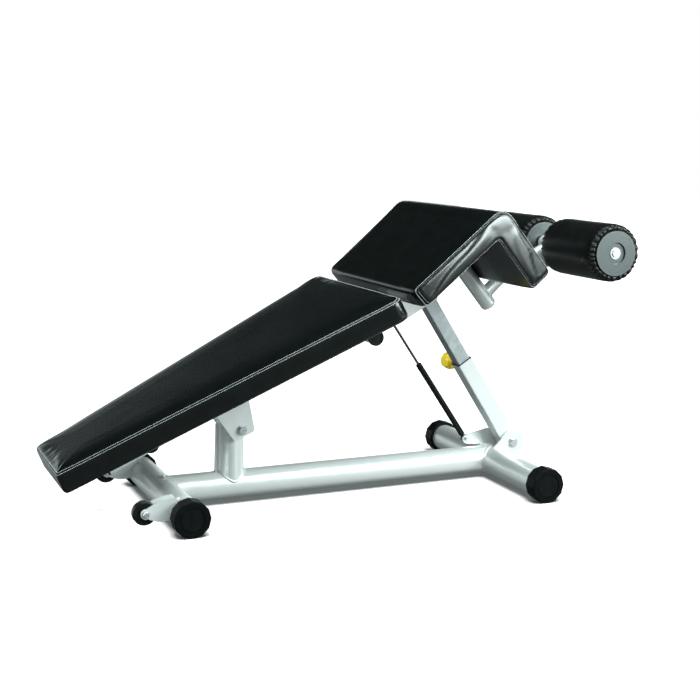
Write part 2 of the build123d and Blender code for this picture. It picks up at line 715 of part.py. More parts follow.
# ------------------------------------------------- pad supports under the bench
# Each support is a place along the pad, its half length and its depth.
support_r, support_cap_r, boss_r = 17.5, 20.5, 9.0
supports = ((-60.0, 62.0, 25.0), (537.0, 192.0, 31.0))
with BuildPart() as pad_supports:
    for u, half, depth in supports:
        x, z = on_back(u, depth)
        for way in (-1, 1):
            with BuildSketch(bench_top.offset(-depth)):
                with Locations((u, way * (half - 20))):
                    Circle(boss_r)
            extrude(amount=depth)
            with BuildSketch(y_plane(x, z, way * beam_half)):
                Circle(support_r)
            extrude(amount=way * (half - 6 - beam_half))
            with BuildSketch(y_plane(x, z, way * beam_half)):
                Circle(support_r - 2.5)
            extrude(amount=way * (half - 6 - beam_half), mode=Mode.SUBTRACT)
save(pad_supports, "pad_supports")

with BuildPart() as support_caps:
    for u, half, depth in supports:
        x, z = on_back(u, depth)
        for way in (-1, 1):
            with BuildSketch(y_plane(x, z, way * (half - 6))):
                Circle(support_cap_r)
            extrude(amount=way * 6)
            with BuildSketch(y_plane(x, z, way * (half - 6))):
                Circle(support_r - 2.5)
            extrude(amount=-way * 12)
            with BuildSketch(y_plane(x, z, way * half)):
                Circle(support_r - 2)
                Circle(support_r - 7, mode=Mode.SUBTRACT)
            extrude(amount=-way * 2, mode=Mode.SUBTRACT)
save(support_caps, "support_caps")

# ------------------------------------------------------ tilt pivot fork and bolt
fork_in, fork_plate = 41.0, 5.0
fork_out = fork_in + fork_plate
with BuildPart() as pivot_fork:
    for way in (-1, 1):
        with BuildSketch(bench_side.offset(way * fork_in)):
            with BuildLine():
                Polyline((118, -beam_depth), (131, -132), (189, -134), (212, -beam_depth), close=True)
            make_face()
        extrude(amount=way * fork_plate)
    low_corners = pivot_fork.edges().filter_by(Axis.Y).filter_by(
        lambda edge: bench_side.to_local_coords(edge.center()).Y < -100)
    fillet(low_corners, 9)
    with BuildSketch(bench_side.offset(-fork_out)):
        with Locations((176, -beam_depth - 2.5)):
            Rectangle(72, 5)
    extrude(amount=2 * fork_out)
    with BuildSketch(y_plane(pivot_x, pivot_z, -fork_out)):
        Circle(bolt_r)
    extrude(amount=2 * fork_out, mode=Mode.SUBTRACT)
save(pivot_fork, "pivot_fork")

with BuildPart() as pivot_bolt:
    add_bolt(pivot_x, pivot_z, -fork_out, fork_out + 13, bolt_r, 10.5, 7, 13)
save(pivot_bolt, "pivot_bolt")

# ------------------------------------------- bracket that holds the strut's top
bracket_in, bracket_plate = 22.0, 6.0
bracket_out = bracket_in + bracket_plate
top_x = strut_x + top_pivot * strut_dir.X
top_z = strut_z + top_pivot * strut_dir.Z
bracket_outline = ((650, 449), (745, 501), meet(*below_thigh(beam_depth), 88, 752, 560), fold_low,
                   on_back(625, beam_depth))
with BuildPart() as strut_bracket:
    for way in (-1, 1):
        with BuildSketch(side.offset(way * bracket_in)):
            side_face(bracket_outline)
        extrude(amount=way * bracket_plate)
    with BuildSketch(y_plane(top_x, top_z, -bracket_out)):
        Circle(bolt_r)
    extrude(amount=2 * bracket_out, mode=Mode.SUBTRACT)
save(strut_bracket, "strut_bracket")

with BuildPart() as bracket_bolt:
    add_bolt(top_x, top_z, -bracket_out, bracket_out + 13, bolt_r, 10.5, 7, 13)
save(bracket_bolt, "bracket_bolt")

with BuildPart() as bench_nuts:
    add_nut(pivot_x, pivot_z, fork_out, 1, bolt_r, 10.5, 9, 13)
    add_nut(top_x, top_z, bracket_out, 1, bolt_r, 10.5, 9, 13)
save(bench_nuts, "bench_nuts")

with BuildPart() as gas_upper_stud:
    with BuildSketch(y_plane(gas_top_x, gas_top_z, beam_half)):
        Circle(9)
    extrude(amount=gas_y - 6.5 - beam_half)
    with BuildSketch(y_plane(gas_top_x, gas_top_z, beam_half)):
        Circle(4)
    extrude(amount=gas_y + 12 - beam_half)
    with BuildSketch(y_plane(gas_top_x, gas_top_z, gas_y + 6.5)):
        Circle(12)
    extrude(amount=2)
    with BuildSketch(y_plane(gas_top_x, gas_top_z, gas_y + 8.5)):
        RegularPolygon(7.5, 6)
    extrude(amount=5)
save(gas_upper_stud, "gas_upper_stud")


# ======================================================================= pads
def back_half(u):
    return back_half_0 + back_taper * u


def back_outline(inset):
    """Tapered plan of the back pad, pulled in by inset on every side."""
    low, high = back_start + inset, back_end - inset
    Polygon((low, -back_half(low) + inset), (high, -back_half(high) + inset),
            (high, back_half(high) - inset), (low, back_half(low) - inset), align=None)


with BuildPart() as back_pad_board:
    with BuildSketch(bench_top) as board_plan:
        back_outline(board_inset)
        fillet(board_plan.vertices(), 22)
    extrude(amount=board_thick)
save(back_pad_board, "back_pad_board")

with BuildPart() as back_pad_cushion:
    with BuildSketch(bench_top) as cushion_plan:
        back_outline(0)
        fillet(cushion_plan.vertices(), 32)
    extrude(amount=back_height)
    pad_axis = Axis(bench_origin, (-pad_sin, 0, pad_cos))
    fillet(back_pad_cushion.faces().sort_by(pad_axis)[-1].edges(), 12)
    with BuildSketch(bench_top) as pocket_plan:
        back_outline(board_inset)
        fillet(pocket_plan.vertices(), 22)
    extrude(amount=board_thick, mode=Mode.SUBTRACT)
save(back_pad_cushion, "back_pad_cushion")


def on_thigh(u, height):
    return (thigh_x + u * thigh_cos - height * thigh_sin, thigh_z + u * thigh_sin + height * thigh_cos)


def on_shin(s, height):
    return (shin_end_x - s * shin_cos + height * shin_sin, shin_end_z + s * shin_sin + height * shin_cos)


knee_wide = knee_half_high - knee_half_low
crotch = meet(*below_thigh(0), *above_shin(shin_gap))
crown = meet(*below_thigh(-knee_height), *above_shin(shin_gap + shin_height))
knee_low = on_thigh(thigh_start, 0)
shin_low = on_shin(shin_pad_end, shin_gap)
with BuildPart() as knee_pad_cushion:
    with BuildSketch(side):
        side_face((knee_low, crotch, shin_low, on_shin(shin_pad_end, shin_gap + shin_height),
                   crown, on_thigh(thigh_start, knee_height)))
    extrude(amount=knee_half_high, both=True)
    apex_edge = knee_pad_cushion.edges().filter_by(Axis.Y).sort_by(Axis.Z)[-1]
    fillet(apex_edge, 38)
    end_edges = knee_pad_cushion.edges().filter_by(Axis.Y).filter_by(
        lambda edge: abs(edge.center().X - front_x - crotch[0]) > 100)
    fillet(end_edges, 12)
    with BuildSketch(Plane.XY):
        with BuildLine():
            Polyline(at(540, -knee_half_low + 2), at(crown[0], -knee_half_high),
                     at(crown[0] + 200, -knee_half_high), at(crown[0] + 200, knee_half_high),
                     at(crown[0], knee_half_high), at(540, knee_half_low - 2), close=True)
        make_face()
    extrude(amount=1000, mode=Mode.INTERSECT)
    with BuildSketch(thigh_top):
        with Locations((thigh_start + board_inset + 108, 0)):
            Rectangle(216, 2 * (knee_half_low - board_inset))
    extrude(amount=board_thick, mode=Mode.SUBTRACT)
    with BuildSketch(shin_top.offset(shin_gap)):
        with Locations((shin_pad_end + board_inset + 58, 0)):
            Rectangle(116, 2 * (knee_half_low - board_inset))
    extrude(amount=board_thick, mode=Mode.SUBTRACT)
save(knee_pad_cushion, "knee_pad_cushion")

with BuildPart() as knee_pad_boards:
    with BuildSketch(thigh_top):
        with Locations((thigh_start + board_inset + 108, 0)):
            Rectangle(216, 2 * (knee_half_low - board_inset))
    extrude(amount=board_thick)
    with BuildSketch(shin_top.offset(shin_gap)):
        with Locations((shin_pad_end + board_inset + 58, 0)):
            Rectangle(116, 2 * (knee_half_low - board_inset))
    extrude(amount=board_thick)
save(knee_pad_boards, "knee_pad_boards")

# ==================================================================== rollers
def add_roller_disc(y_out, way):
    """Aluminium end disc, its counterbored face at y_out looking along way."""
    hole = axle_r + bolt_clear
    add_disc(roller_x, roller_z, y_out - way * disc_thick, way * (disc_thick - disc_recess), disc_r, hole)
    add_disc(roller_x, roller_z, y_out - way * disc_recess, way * disc_recess, disc_r, disc_recess_r)


foam_outer, foam_inner = roller_outer - 4, roller_inner + 4
for place, way in (("near", -1), ("far", 1)):
    with BuildPart() as roller_discs:
        add_roller_disc(way * roller_outer, way)
        add_roller_disc(way * roller_inner, -way)
    save(roller_discs, "roller_discs_" + place)
    core_from = way * (roller_inner + disc_thick)
    core_length = way * (roller_outer - roller_inner - 2 * disc_thick)
    save(ring(roller_x, roller_z, core_from, core_length, core_r, axle_r + 1), "roller_core_" + place)
    with BuildPart() as roller_cover:
        with BuildSketch(y_plane(roller_x, roller_z, way * foam_inner)):
            Circle(roller_r)
        extrude(amount=way * (foam_outer - foam_inner))
        fillet(roller_cover.edges().filter_by(GeomType.CIRCLE), 12)
        for stop, depth_way in ((foam_inner, 1), (foam_outer, -1)):
            with BuildSketch(y_plane(roller_x, roller_z, way * stop)):
                Circle(disc_r)
            extrude(amount=way * depth_way * (disc_thick - 4), mode=Mode.SUBTRACT)
        with BuildSketch(y_plane(roller_x, roller_z, way * foam_inner)):
            Circle(core_r)
        extrude(amount=way * (foam_outer - foam_inner), mode=Mode.SUBTRACT)
    save(roller_cover, "roller_pad_" + place)
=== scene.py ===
import json
import math
import random

import bmesh
import bpy
import numpy as np
from mathutils import Matrix, Vector
from mathutils.bvhtree import BVHTree
from mathutils.kdtree import KDTree

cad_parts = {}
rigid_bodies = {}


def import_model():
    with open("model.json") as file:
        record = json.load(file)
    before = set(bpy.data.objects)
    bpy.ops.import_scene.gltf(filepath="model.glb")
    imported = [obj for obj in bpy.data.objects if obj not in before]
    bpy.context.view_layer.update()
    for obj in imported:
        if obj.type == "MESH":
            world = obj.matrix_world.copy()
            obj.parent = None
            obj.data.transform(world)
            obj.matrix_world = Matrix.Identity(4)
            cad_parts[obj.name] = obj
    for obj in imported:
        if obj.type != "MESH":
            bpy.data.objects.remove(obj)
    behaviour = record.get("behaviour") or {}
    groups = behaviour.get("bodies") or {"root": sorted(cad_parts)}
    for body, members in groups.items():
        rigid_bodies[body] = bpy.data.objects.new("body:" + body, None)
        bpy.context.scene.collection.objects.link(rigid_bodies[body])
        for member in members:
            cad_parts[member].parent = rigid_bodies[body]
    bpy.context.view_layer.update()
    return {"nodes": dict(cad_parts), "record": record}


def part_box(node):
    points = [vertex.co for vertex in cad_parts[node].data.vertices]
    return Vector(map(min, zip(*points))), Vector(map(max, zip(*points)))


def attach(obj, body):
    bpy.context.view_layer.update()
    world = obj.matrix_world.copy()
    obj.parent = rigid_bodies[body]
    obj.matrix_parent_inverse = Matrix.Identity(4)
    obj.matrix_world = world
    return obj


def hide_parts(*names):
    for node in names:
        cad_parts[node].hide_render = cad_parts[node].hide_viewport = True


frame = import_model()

# The looks of an adjustable decline bench, in metres, in the CAD model's frame.
# MM turns the design's millimetres into metres.
MM = 0.001
SCENE = bpy.context.scene
NODES = frame["nodes"]
SLOTS = {part["node"]: part["material_slot"] for part in frame["record"]["subparts"]}

# ------------------------------------------------------------ design numbers
FRONT_X = -446.16           # front cross tube; other x values count from here
REAR_X = 923.0
TUBE_R = 36.5
FOOT_Z = 45.0
MAIN_R, MAIN_Z = 35.5, 48.5
POST_X, POST_R = 177.0, 33.5
GUSSET_FOOT_X, GUSSET_HALF = 133.0, 4.0
PAD_ANGLE = math.radians(25.6)
PAD_Z = 230.0
THIGH_ANGLE = math.radians(40.2)
SHIN_ANGLE = math.radians(51.5)
BACK_START, BACK_END = -300.0, 615.0
BACK_HALF, BACK_TAPER = 196.8, 0.153
KNEE_HEIGHT, SHIN_HEIGHT = 55.0, 64.0
KNEE_HALF_LOW, KNEE_HALF_HIGH = 284.0, 296.0
THIGH_START, THIGH_X, THIGH_Z = -148.0, 700.0, 607.6
SHIN_X, SHIN_Z, SHIN_GAP, SHIN_START = 916.0, 470.0, 23.0, 76.0
ROLLER_X, ROLLER_Z, ROLLER_R = 1109.0, 632.5, 74.5
ROLLER_IN, ROLLER_OUT = 53.0, 306.0


# -------------------------------------------------------------- small helpers
def world(x, y, z):
    """A design point, with x counted from the front cross tube, in metres."""
    return Vector(((FRONT_X + x) * MM, y * MM, z * MM))


def back_point(u, y, v):
    """A point given along, across and above the back pad's underside."""
    c, s = math.cos(PAD_ANGLE), math.sin(PAD_ANGLE)
    return world(u * c - v * s, y, PAD_Z + u * s + v * c)


def thigh_point(u, v):
    c, s = math.cos(THIGH_ANGLE), math.sin(THIGH_ANGLE)
    return Vector((THIGH_X + u * c - v * s, THIGH_Z + u * s + v * c))


def shin_point(s_along, v):
    c, s = math.cos(SHIN_ANGLE), math.sin(SHIN_ANGLE)
    return Vector((SHIN_X - s_along * c + v * s, SHIN_Z + s_along * s + v * c))


def crossing(a, da, b, db):
    """Where the line through a along da meets the line through b along db."""
    t = ((b.x - a.x) * db.y - (b.y - a.y) * db.x) / (da.x * db.y - da.y * db.x)
    return a + t * da


def new_object(name, mesh, body, material):
    piece = bpy.data.objects.new(name, mesh)
    SCENE.collection.objects.link(piece)
    mesh.materials.clear()
    mesh.materials.append(material)
    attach(piece, body)
    return piece


def mesh_from(name, points, faces, smooth=True):
    mesh = bpy.data.meshes.new(name)
    mesh.from_pydata([tuple(p) for p in points], [], faces)
    mesh.validate()
    mesh.update()
    if smooth:
        mesh.polygons.foreach_set("use_smooth", [True] * len(mesh.polygons))
    return mesh


def outward(mesh):
    """The same closed mesh, with every face turned outwards."""
    shape = bmesh.new()
    shape.from_mesh(mesh)
    bmesh.ops.recalc_face_normals(shape, faces=shape.faces)
    shape.to_mesh(mesh)
    shape.free()
    return mesh


def coordinates(mesh):
    found = np.zeros(len(mesh.vertices) * 3)
    mesh.vertices.foreach_get("co", found)
    return found.reshape(-1, 3)


def normals(mesh):
    found = np.zeros(len(mesh.vertices) * 3)
    mesh.vertices.foreach_get("normal", found)
    return found.reshape(-1, 3)


def set_coordinates(mesh, points):
    mesh.vertices.foreach_set("co", np.asarray(points, float).ravel())
    mesh.update()


def rounded(corners, radii, inset=0.0, steps=8):
    """Corners of an outline drawn anticlockwise, pulled in by inset and rounded."""
    n = len(corners)
    pulled = []
    for i in range(n):
        before, here, after = corners[i - 1], corners[i], corners[(i + 1) % n]
        d0, d1 = (here - before).normalized(), (after - here).normalized()
        n0, n1 = Vector((-d0.y, d0.x)), Vector((-d1.y, d1.x))
        pulled.append(crossing(here + n0 * inset, d0, here + n1 * inset, d1))
    outline = []
    for i in range(n):
        before, here, after = pulled[i - 1], pulled[i], pulled[(i + 1) % n]
        d0, d1 = (here - before).normalized(), (after - here).normalized()
        turn = d0.angle_signed(d1) if d0.angle(d1) > 1e-6 else 0.0
        convex = d0.x * d1.y - d0.y * d1.x > 0
        radius = max(radii[i] - inset, 1.5) if convex else radii[i] + inset
        half = abs(turn) / 2
        reach = radius * math.tan(half)
        first = here - d0 * reach
        side = Vector((-d0.y, d0.x)) * (1 if convex else -1)
        centre = first + side * radius
        arm = first - centre
        for k in range(steps + 1):
            angle = (1 if convex else -1) * abs(turn) * k / steps
            c, s = math.cos(angle), math.sin(angle)
            outline.append(centre + Vector((arm.x * c - arm.y * s, arm.x * s + arm.y * c)))
    return outline


def loft(name, loops):
    """Closed mesh through loops of equally many points, with its ends filled."""
    count = len(loops[0])
    points = [p for loop in loops for p in loop]
    faces = []
    for row in range(len(loops) - 1):
        for k in range(count):
            a, b = row * count + k, row * count + (k + 1) % count
            faces.append((a, b, b + count, a + count))
    faces.append(tuple(reversed(range(count))))
    faces.append(tuple(range((len(loops) - 1) * count, len(loops) * count)))
    return outward(mesh_from(name, points, faces))


def evaluated(mesh, name, prepare):
    """A new mesh, after the modifiers that prepare() puts on a temporary object."""
    temp = bpy.data.objects.new(name + "_temp", mesh)
    SCENE.collection.objects.link(temp)
    prepare(temp)
    bpy.context.view_layer.update()
    graph = bpy.context.evaluated_depsgraph_get()
    result = bpy.data.meshes.new_from_object(temp.evaluated_get(graph))
    bpy.data.objects.remove(temp)
    return result


def remeshed(mesh, voxel):
    """Even quads over the same surface, each vertex set back on it."""
    surface = surface_tree(mesh)

    def prepare(temp):
        remesh = temp.modifiers.new("remesh", "REMESH")
        remesh.mode = "VOXEL"
        remesh.voxel_size = voxel
        remesh.use_smooth_shade = True
        smooth = temp.modifiers.new("smooth", "SMOOTH")
        smooth.factor = 0.5
        smooth.iterations = 3
    result = evaluated(mesh, mesh.name, prepare)
    set_coordinates(result, [surface.find_nearest(p)[0] for p in coordinates(result)])
    return result


def subdivided(mesh):
    def prepare(temp):
        temp.modifiers.new("subdivision", "SUBSURF").levels = 1
    return evaluated(mesh, mesh.name, prepare)


def swollen(mesh, pressure, cap, held):
    """Cloth under pressure for twenty frames, its vertices moving no more than cap.
    held(points) gives the share of each vertex that stays where it is."""
    frames, mass, stretch, shear, bend = 20, 0.15, 12, 5, 2.0
    rest = coordinates(mesh)
    temp = bpy.data.objects.new(mesh.name + "_cloth", mesh)
    SCENE.collection.objects.link(temp)
    group = temp.vertex_groups.new(name="held")
    share = held(rest)
    for weight in (0.25, 0.5, 1.0):
        chosen = np.nonzero(np.abs(share - weight) < 0.13)[0]
        if len(chosen):
            group.add([int(i) for i in chosen], weight, "REPLACE")
    cloth = temp.modifiers.new("cloth", "CLOTH")
    cloth.settings.quality = 5
    cloth.settings.mass = mass
    cloth.settings.tension_stiffness = stretch
    cloth.settings.compression_stiffness = stretch
    cloth.settings.shear_stiffness = shear
    cloth.settings.bending_stiffness = bend
    cloth.settings.use_pressure = True
    cloth.settings.uniform_pressure_force = pressure
    cloth.settings.effector_weights.gravity = 0.0
    cloth.settings.vertex_group_mass = "held"
    cloth.collision_settings.use_collision = False
    for number in range(1, frames + 1):
        SCENE.frame_set(number)
    graph = bpy.context.evaluated_depsgraph_get()
    moved = bpy.data.meshes.new_from_object(temp.evaluated_get(graph))
    shift = coordinates(moved) - rest
    length = np.linalg.norm(shift, axis=1, keepdims=True)
    shift *= np.minimum(1.0, cap / np.maximum(length, 1e-9))
    bpy.data.objects.remove(temp)
    bpy.data.meshes.remove(moved)
    set_coordinates(mesh, rest + shift)
    SCENE.frame_set(1)
    return mesh


def press_seam(mesh, lines, depth, width):
    """Pulls the cover in along sewn lines."""
    points, out = coordinates(mesh), normals(mesh)
    samples = [p for line in lines for p in line]
    tree = KDTree(len(samples))
    for i, p in enumerate(samples):
        tree.insert(p, i)
    tree.balance()
    reach = 3.5 * width
    for i, p in enumerate(points):
        distance = tree.find(p)[2]
        if distance < reach:
            pull = math.exp(-(distance / width) ** 2)
            points[i] -= out[i] * depth * pull
    set_coordinates(mesh, points)


def surface_tree(mesh):
    shape = bmesh.new()
    shape.from_mesh(mesh)
    tree = BVHTree.FromBMesh(shape)
    shape.free()
    return tree


def resampled(line, step, closed=True):
    """Points at an even step along a line, and the direction of the line at each."""
    ring = list(line) + ([line[0]] if closed else [])
    lengths = [0.0]
    for a, b in zip(ring, ring[1:]):
        lengths.append(lengths[-1] + (b - a).length)
    count = max(2, round(lengths[-1] / step))
    found, k = [], 0
    for i in range(count if closed else count + 1):
        target = lengths[-1] * i / count
        while k < len(ring) - 2 and lengths[k + 1] < target:
            k += 1
        span = max(lengths[k + 1] - lengths[k], 1e-9)
        found.append(ring[k].lerp(ring[k + 1], (target - lengths[k]) / span))
    along = []
    n = len(found)
    for i in range(n):
        a = found[i - 1] if closed or i else found[0]
        b = found[(i + 1) % n] if closed or i < n - 1 else found[-1]
        along.append((b - a).normalized())
    return found, along


def tube_mesh(name, lines, radius, sides=8, closed=True, ripple=0.0, ripple_step=0.0035):
    """Round tube along each line; ripple gives it the scales of a weld bead."""
    points, faces = [], []
    for line in lines:
        path, along = resampled(line, 0.0016 if ripple else 0.004, closed)
        start = len(points)
        side = along[0].orthogonal().normalized()
        travelled = 0.0
        for i, (p, d) in enumerate(zip(path, along)):
            side = (side - d * side.dot(d)).normalized()
            up = d.cross(side)
            if i:
                travelled += (p - path[i - 1]).length
            r = radius * (1 + ripple * math.sin(2 * math.pi * travelled / ripple_step))
            for k in range(sides):
                a = 2 * math.pi * k / sides
                points.append(p + (side * math.cos(a) + up * math.sin(a)) * r)
        rows = len(path)
        for i in range(rows if closed else rows - 1):
            for k in range(sides):
                a = start + i * sides + k
                b = start + i * sides + (k + 1) % sides
                c = start + ((i + 1) % rows) * sides + (k + 1) % sides
                d = start + ((i + 1) % rows) * sides + k
                faces.append((a, b, c, d))
        if not closed:
            faces.append(tuple(start + k for k in reversed(range(sides))))
            faces.append(tuple(start + (rows - 1) * sides + k for k in range(sides)))
    return mesh_from(name, points, faces)


def stitch_mesh(name, lines, tree, step=0.0042, length=0.0034, thickness=0.00052):
    """A row of sewn stitches along each line, lying on the surface in tree."""
    points, faces = [], []
    for line in lines:
        path, along = resampled(line, step)
        for p, d in zip(path, along):
            spot, out, _, _ = tree.find_nearest(p)
            if spot is None:
                continue
            d = (d - out * d.dot(out)).normalized()
            side = d.cross(out)
            start = len(points)
            for part, swell in ((-0.5, 0.35), (-0.3, 1.0), (0.3, 1.0), (0.5, 0.35)):
                lift = 0.00025 if abs(part) < 0.4 else -0.0002
                for k in range(6):
                    a = 2 * math.pi * k / 6
                    ring = (side * math.cos(a) + out * math.sin(a)) * thickness * swell
                    points.append(spot + d * length * part + out * lift + ring)
            for row in range(3):
                for k in range(6):
                    a = start + row * 6 + k
                    b = start + row * 6 + (k + 1) % 6
                    faces.append((a, b, b + 6, a + 6))
            faces.append(tuple(start + k for k in reversed(range(6))))
            faces.append(tuple(start + 18 + k for k in range(6)))
    return mesh_from(name, points, faces)


# ------------------------------------------------------------------ materials
class Recipe:
    """A node material being put together."""

    def __init__(self, name, colour, roughness, metallic=0.0, coat=0.0, coat_roughness=0.1):
        self.material = bpy.data.materials.new(name)
        self.material.use_nodes = True
        self.tree = self.material.node_tree
        self.shader = self.tree.nodes["Principled BSDF"]
        self.set("Base Color", (*colour, 1.0))
        self.set("Roughness", roughness)
        self.set("Metallic", metallic)
        self.set("Coat Weight", coat)
        self.set("Coat Roughness", coat_roughness)
        self.place = self.node("ShaderNodeTexCoord").outputs["Object"]
        self.height = None

    def set(self, socket, value):
        self.shader.inputs[socket].default_value = value

    def node(self, kind, **properties):
        made = self.tree.nodes.new(kind)
        for key, value in properties.items():
            setattr(made, key, value)
        return made

    def link(self, a, b):
        self.tree.links.new(a, b)
        return b

    def noise(self, scale, detail=2.0, roughness=0.5):
        made = self.node("ShaderNodeTexNoise")
        made.inputs["Scale"].default_value = scale
        made.inputs["Detail"].default_value = detail
        made.inputs["Roughness"].default_value = roughness
        self.link(self.place, made.inputs["Vector"])
        return made.outputs["Fac"]

    def cells(self, scale, feature="F1"):
        made = self.node("ShaderNodeTexVoronoi")
        made.feature = feature
        made.inputs["Scale"].default_value = scale
        self.link(self.place, made.inputs["Vector"])
        return made

    def between(self, value, low, high, from_low=0.0, from_high=1.0):
        made = self.node("ShaderNodeMapRange")
        made.inputs["From Min"].default_value = from_low
        made.inputs["From Max"].default_value = from_high
        made.inputs["To Min"].default_value = low
        made.inputs["To Max"].default_value = high
        self.link(value, made.inputs["Value"])
        return made.outputs["Result"]

    def ramp(self, value, stops):
        made = self.node("ShaderNodeValToRGB")
        for i, (place, colour) in enumerate(stops):
            if i < 2:
                stop = made.color_ramp.elements[i]
                stop.position = place
            else:
                stop = made.color_ramp.elements.new(place)
            stop.color = (*colour, 1.0)
        self.link(value, made.inputs["Fac"])
        return made.outputs["Color"]

    def roughness(self, value):
        self.link(value, self.shader.inputs["Roughness"])

    def colour(self, value):
        self.link(value, self.shader.inputs["Base Color"])

    def bump(self, value, strength, distance):
        made = self.node("ShaderNodeBump")
        made.inputs["Strength"].default_value = strength
        made.inputs["Distance"].default_value = distance
        self.link(value, made.inputs["Height"])
        if self.height is not None:
            self.link(self.height, made.inputs["Normal"])
        self.height = made.outputs["Normal"]
        self.link(self.height, self.shader.inputs["Normal"])


def vinyl(name, colour, low, high, grain=0.35, shine=0.5):
    """Upholstery vinyl over the slow waves of its foam, with a pebble grain if wanted."""
    made = Recipe(name, colour, low)
    made.set("Specular IOR Level", shine)
    patch = made.noise(9.0, 3.0)
    made.roughness(made.between(patch, low, high, 0.3, 0.7))
    tone = [tuple(c * k for c in colour) for k in (0.75, 1.3)]
    made.colour(made.ramp(made.noise(30.0, 2.0), ((0.3, tone[0]), (0.7, tone[1]))))
    made.bump(made.noise(7.0, 1.0), 0.18, 0.0012)
    if grain:
        pebble = made.cells(780.0, "SMOOTH_F1").outputs["Distance"]
        made.bump(pebble, grain, 0.00005)
    return made.material


def paint(name, colour, roughness, metallic, flake=0.06):
    """Metallic powder coat: bright flakes and a faint orange peel."""
    made = Recipe(name, colour, roughness, metallic, coat=0.25, coat_roughness=0.18)
    flakes = made.cells(2600.0).outputs["Color"]
    grey = made.node("ShaderNodeRGBToBW")
    made.link(flakes, grey.inputs["Color"])
    low = tuple(c * (1 - flake) for c in colour)
    high = tuple(min(1.0, c * (1 + flake)) for c in colour)
    made.colour(made.ramp(grey.outputs["Val"], ((0.0, low), (1.0, high))))
    made.roughness(made.between(made.noise(38.0, 3.0), roughness - 0.04, roughness + 0.05, 0.3, 0.7))
    made.bump(made.noise(420.0, 2.0), 0.12, 0.0002)
    return made.material


def metal(name, colour, roughness, scale=300.0, metallic=0.9, spread=0.12):
    made = Recipe(name, colour, roughness, metallic)
    cloud = made.noise(scale, 4.0, 0.6)
    low = tuple(c * (1 - spread) for c in colour)
    high = tuple(min(1.0, c * (1 + spread)) for c in colour)
    made.colour(made.ramp(cloud, ((0.3, low), (0.7, high))))
    made.roughness(made.between(cloud, roughness - 0.06, roughness + 0.08, 0.3, 0.7))
    made.bump(made.noise(scale * 5, 2.0), 0.15, 0.0001)
    return made.material


def spangle():
    """Galvanised steel: grey crystals in patches a centimetre or two across."""
    made = Recipe("galvanised", (0.42, 0.45, 0.46), 0.4, 0.85)
    crystal = made.cells(75.0)
    grey = made.node("ShaderNodeRGBToBW")
    made.link(crystal.outputs["Color"], grey.inputs["Color"])
    cloud = made.noise(26.0, 5.0, 0.65)
    mixed = made.node("ShaderNodeMix")
    mixed.data_type = "FLOAT"
    mixed.inputs["Factor"].default_value = 0.45
    made.link(grey.outputs["Val"], mixed.inputs[2])
    made.link(cloud, mixed.inputs[3])
    value = mixed.outputs[0]
    made.colour(made.ramp(value, ((0.25, (0.43, 0.46, 0.47)), (0.75, (0.52, 0.55, 0.56)))))
    made.roughness(made.between(value, 0.38, 0.46, 0.25, 0.75))
    made.bump(made.noise(900.0, 2.0), 0.1, 0.0001)
    return made.material


def turned():
    """Aluminium faced on a lathe: fine rings about the roller's axle."""
    made = Recipe("turned_aluminium", (0.42, 0.44, 0.44), 0.36, 0.9)
    split = made.node("ShaderNodeSeparateXYZ")
    made.link(made.place, split.inputs["Vector"])
    join = made.node("ShaderNodeCombineXYZ")
    for axis, centre in (("X", (FRONT_X + ROLLER_X) * MM), ("Z", ROLLER_Z * MM)):
        shift = made.node("ShaderNodeMath", operation="SUBTRACT")
        made.link(split.outputs[axis], shift.inputs[0])
        shift.inputs[1].default_value = centre
        made.link(shift.outputs[0], join.inputs[axis])
    far = made.node("ShaderNodeVectorMath", operation="LENGTH")
    made.link(join.outputs["Vector"], far.inputs[0])
    rings = made.node("ShaderNodeTexNoise")
    rings.noise_dimensions = "1D"
    rings.inputs["Scale"].default_value = 1500.0
    rings.inputs["Detail"].default_value = 3.0
    made.link(far.outputs["Value"], rings.inputs["W"])
    speck = made.noise(700.0, 4.0, 0.7)
    both = made.node("ShaderNodeMath", operation="MULTIPLY")
    made.link(rings.outputs["Fac"], both.inputs[0])
    made.link(speck, both.inputs[1])
    made.colour(made.ramp(both.outputs[0], ((0.12, (0.075, 0.085, 0.088)), (0.42, (0.21, 0.225, 0.225)))))
    made.roughness(made.between(rings.outputs["Fac"], 0.28, 0.46, 0.3, 0.7))
    made.bump(rings.outputs["Fac"], 0.25, 0.0001)
    return made.material


def moulded(name, colour, roughness, grain=700.0, depth=0.15, shine=0.5):
    """Moulded rubber or plastic with a fine matt texture."""
    made = Recipe(name, colour, roughness)
    made.set("Specular IOR Level", shine)
    cloud = made.noise(60.0, 3.0)
    low = tuple(c * 0.8 for c in colour)
    high = tuple(min(1.0, c * 1.25) for c in colour)
    made.colour(made.ramp(cloud, ((0.3, low), (0.7, high))))
    made.roughness(made.between(cloud, roughness - 0.05, roughness + 0.07, 0.3, 0.7))
    made.bump(made.noise(grain, 3.0), depth, 0.0002)
    return made.material


def thread(name, colour):
    """Twisted sewing thread."""
    made = Recipe(name, colour, 0.6)
    twist = made.noise(2400.0, 2.0)
    made.colour(made.ramp(twist, ((0.35, tuple(c * 0.7 for c in colour)), (0.65, colour))))
    made.bump(twist, 0.4, 0.0002)
    return made.material


